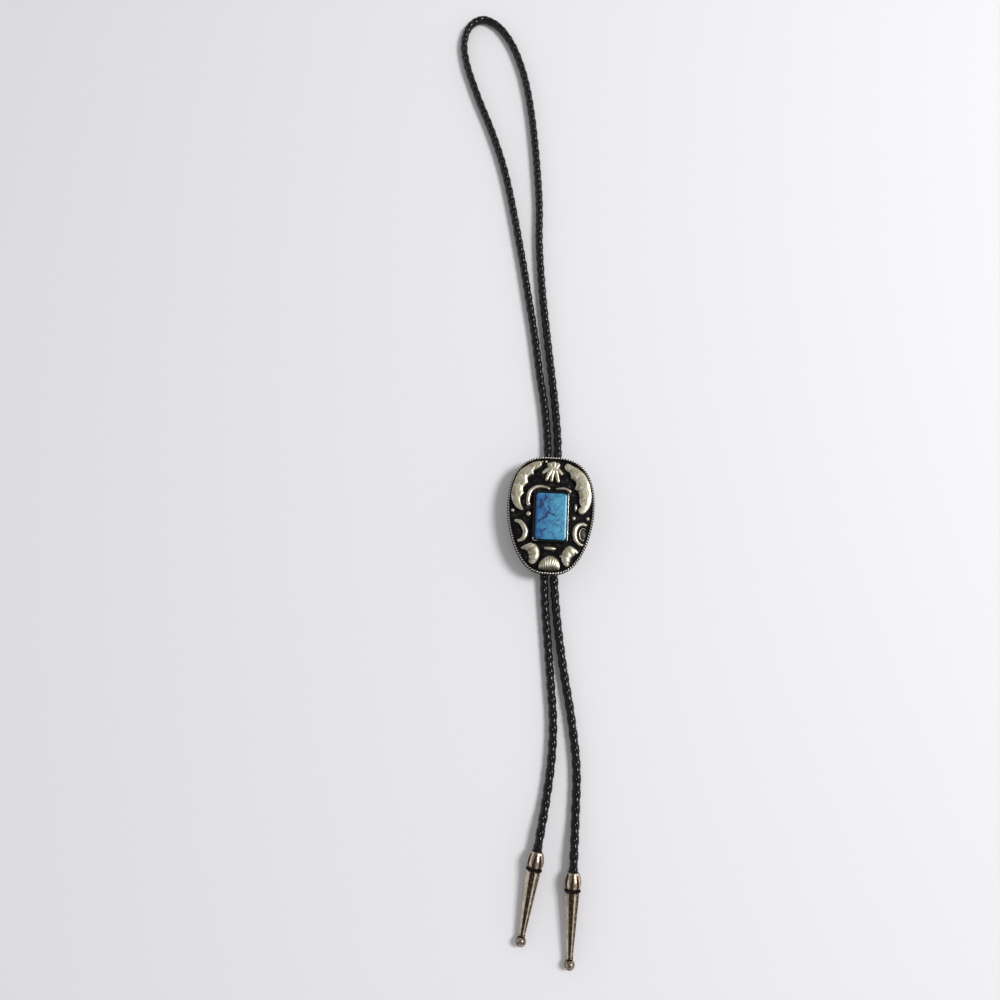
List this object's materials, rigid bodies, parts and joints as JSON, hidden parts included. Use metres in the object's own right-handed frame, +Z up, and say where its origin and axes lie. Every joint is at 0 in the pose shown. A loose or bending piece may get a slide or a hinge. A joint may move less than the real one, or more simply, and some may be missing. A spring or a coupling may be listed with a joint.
{
  "type": "bolo tie",
  "caption": "Bolo tie lying flat: oval cast metal slide with raised ornament and a rectangular blue stone, on a looped black braided cord with two metal tips.",
  "frame": {"origin": "flat back of the cord clip, under the middle of the slide, on the surface that the tie lies on", "axes": "+Z up out of the slide's face, +Y up the slide towards the cord's loop, +X to the right across the slide"},
  "size_m": [0.086, 0.5133, 0.0129],
  "materials": {
    "cast_silver": "cast nickel silver, warm grey polished relief over a blackened field",
    "dark_wire": "blackened twisted wire with worn bright crests",
    "stone": "polished opaque blue stone with dark navy veins",
    "clip_steel": "plain satin metal",
    "leather": "glossy black braided leather cord",
    "tip_metal": "polished nickel silver with brown tarnish in the hollows"
  },
  "bodies": {
    "root": {"slide_casting": "cast_silver", "rope_border": "dark_wire", "blue_stone": "stone", "cord_clip": "clip_steel", "cord": "leather", "tip_left": "tip_metal", "tip_right": "tip_metal"}
  },
  "joints": []
}
